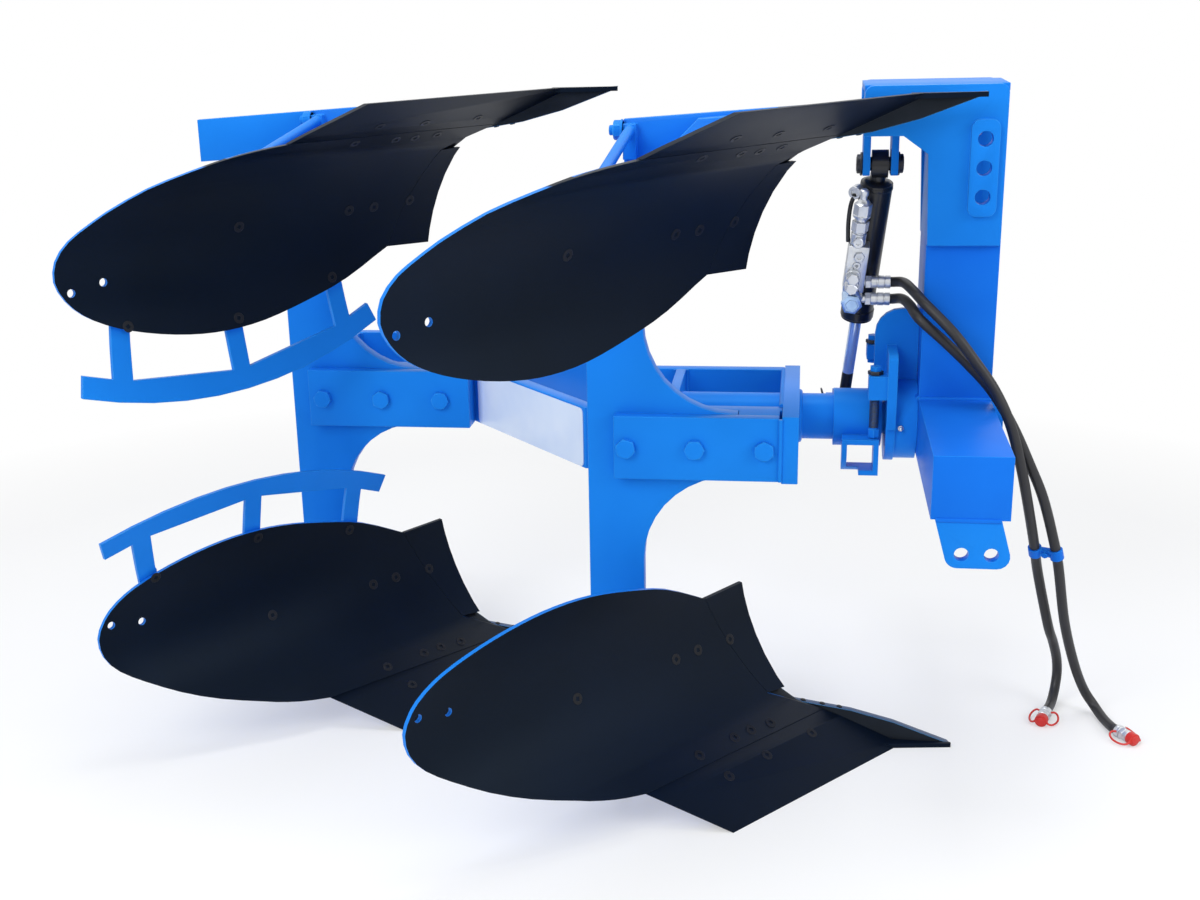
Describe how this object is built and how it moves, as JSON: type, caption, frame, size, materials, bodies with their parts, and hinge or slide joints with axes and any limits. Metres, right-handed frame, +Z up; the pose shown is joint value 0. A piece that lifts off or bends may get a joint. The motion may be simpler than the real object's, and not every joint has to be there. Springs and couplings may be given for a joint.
{
  "type": "moldboard plough",
  "caption": "Reversible moldboard plough: upper and lower bodies on curved legs, a bent box frame, and a hydraulic turnover headstock for a three-point hitch.",
  "frame": {"origin": "on the ground under the centre of the plough's bounding box, without the hoses", "axes": "+X forward to the tractor, +Y to the plough's landside as it stands, +Z up"},
  "size_m": [1.8365, 1.1632, 1.168],
  "materials": {
    "blue_paint": "gloss",
    "black_paint": "satin",
    "rod_chrome": "polished",
    "zinc": "satin",
    "hose_rubber": "matte",
    "red_cap": "gloss"
  },
  "bodies": {
    "headstock": {"cross_beam": "blue_paint", "cylinder_pin": "zinc", "hitch_lug_far": "blue_paint", "hitch_lug_near": "blue_paint", "hose_end_lower": "red_cap", "hose_end_upper": "red_cap", "hose_lower": "hose_rubber", "hose_upper": "hose_rubber", "hub_bracket": "blue_paint", "stop_bolt_far": "blue_paint", "stop_bolt_near": "blue_paint", "tower_column": "blue_paint", "tower_plate_far": "blue_paint", "tower_plate_near": "blue_paint"},
    "plough_frame": {"doubler_front": "blue_paint", "doubler_rear": "blue_paint", "end_plate": "blue_paint", "frog_front_lower": "blue_paint", "frog_front_upper": "blue_paint", "frog_rear_lower": "blue_paint", "frog_rear_upper": "blue_paint", "guard_bar_lower": "blue_paint", "guard_bar_upper": "blue_paint", "landside_front_lower": "blue_paint", "landside_front_upper": "blue_paint", "landside_heel_lower": "blue_paint", "landside_heel_upper": "blue_paint", "landside_rear_lower": "blue_paint", "landside_rear_upper": "blue_paint", "leg_front": "blue_paint", "leg_rear": "blue_paint", "moldboard_front_lower": "black_paint", "moldboard_front_upper": "black_paint", "moldboard_rear_lower": "black_paint", "moldboard_rear_upper": "black_paint", "rail_far": "blue_paint", "rail_near": "blue_paint", "rib_front": "blue_paint", "rib_middle": "blue_paint", "rib_rear": "blue_paint", "share_front_lower": "black_paint", "share_front_upper": "black_paint", "share_rear_lower": "black_paint", "share_rear_upper": "black_paint", "shin_front_lower": "black_paint", "shin_front_upper": "black_paint", "shin_rear_lower": "black_paint", "shin_rear_upper": "black_paint", "turnover_arm": "blue_paint", "turnover_shaft": "blue_paint"},
    "barrel": {"cylinder_barrel": "black_paint", "valve_block": "zinc"},
    "rod": {"cylinder_rod": "rod_chrome"}
  },
  "joints": [
    {"name": "turnover", "type": "hinge", "parent": "headstock", "child": "plough_frame", "pos_m": [0.58161, 0.13564, 0.58], "axis": [1, 0, 0], "range_deg": [0, 180]},
    {"name": "barrel_swing", "type": "hinge", "parent": "headstock", "child": "barrel", "pos_m": [0.55711, 0.13564, 1.032], "axis": [-0.982, 0.1336, 0.1336], "range_deg": [0, 15.55]},
    {"name": "rod_slide", "type": "slide", "parent": "barrel", "child": "rod", "axis": [-0.0945, 0.2654, -0.9595], "range_m": [-0.1411, 0]}
  ],
  "couplings": [
    {"joint": "barrel_swing", "follows": "rod_slide", "rad_per_m": -1.921}
  ]
}
